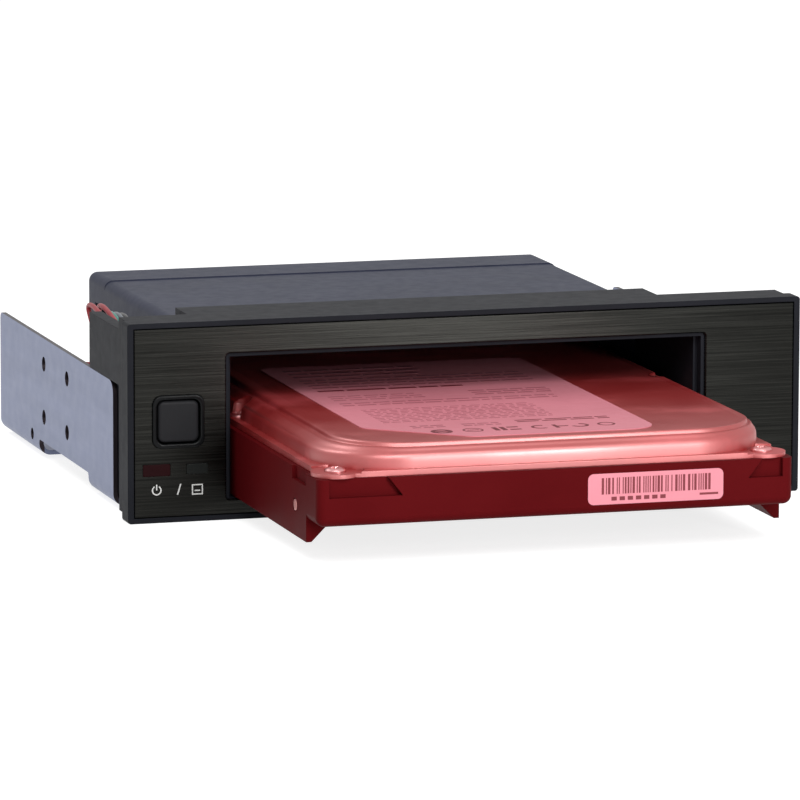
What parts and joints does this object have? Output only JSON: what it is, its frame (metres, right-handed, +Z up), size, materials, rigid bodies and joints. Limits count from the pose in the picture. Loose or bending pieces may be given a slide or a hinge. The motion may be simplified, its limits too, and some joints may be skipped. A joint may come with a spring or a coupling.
{
  "type": "hot swap drive cage",
  "caption": "Trayless hot swap drive cage for a wide drive bay: black bezel with a slot, steel side wings, and a docked red drive that slides out to the front.",
  "frame": {"origin": "middle of the whole part's box, with the drive docked, at the bezel's bottom edge", "axes": "+X to the right seen from the front, +Y from the bezel to the rear, +Z up"},
  "size_m": [0.1486, 0.1822, 0.0423],
  "materials": {
    "bezel_plastic": "fine satin texture",
    "face_aluminium": "black anodised, horizontally brushed",
    "gloss_plastic": "polished",
    "cap_plastic": "satin",
    "red_window": "tinted, polished",
    "dark_window": "tinted, polished",
    "clear_emitter": "clear",
    "zinc_steel": "zinc plated sheet",
    "screw_steel": "plated",
    "housing_plastic": "fine satin texture",
    "board": "solder mask",
    "connector_plastic": "moulded",
    "header_plastic": "moulded nylon",
    "contact_metal": "gold plated",
    "component": "sleeved",
    "casting_red": "red tinted die casting",
    "lid_red": "red tinted pressed sheet",
    "label_red": "printed label",
    "wire_red": "insulation",
    "wire_green": "insulation",
    "wire_white": "insulation",
    "wire_black": "insulation"
  },
  "bodies": {
    "cage": {"front_bezel": "bezel_plastic", "faceplate": "face_aluminium", "button_surround": "gloss_plastic", "switch_housing": "connector_plastic", "power_light_window": "red_window", "access_light_window": "dark_window", "light_emitters": "clear_emitter", "front_board": "board", "front_board_screws": "screw_steel", "front_wire_header": "header_plastic", "chassis_bracket": "zinc_steel", "bracket_screws": "screw_steel", "housing_base": "housing_plastic", "housing_cover": "housing_plastic", "housing_screws": "screw_steel", "dock_board": "board", "dock_board_screws": "screw_steel", "drive_receptacle": "connector_plastic", "receptacle_contacts": "contact_metal", "data_port": "connector_plastic", "power_port": "connector_plastic", "rear_wire_header": "header_plastic", "dock_board_components": "component", "outer_red_wire": "wire_red", "inner_red_wire": "wire_red", "green_wire": "wire_green", "white_wire": "wire_white", "black_wire": "wire_black"},
    "button": {"button_cap": "cap_plastic", "switch_stem": "header_plastic"},
    "drive": {"drive_casting": "casting_red", "drive_lid": "lid_red", "drive_board": "board", "drive_plug": "connector_plastic", "drive_plug_contacts": "contact_metal", "drive_lid_screws": "screw_steel", "drive_top_label": "label_red", "drive_end_label": "label_red"}
  },
  "joints": [
    {"name": "drive_slide", "type": "slide", "parent": "cage", "child": "drive", "axis": [0, -1, 0], "range_m": [0, 0.09]},
    {"name": "button_press", "type": "slide", "parent": "cage", "child": "button", "axis": [0, 1, 0], "range_m": [0, 0.0016], "stiffness_N_per_m": 400, "springref_m": -0.0005}
  ]
}
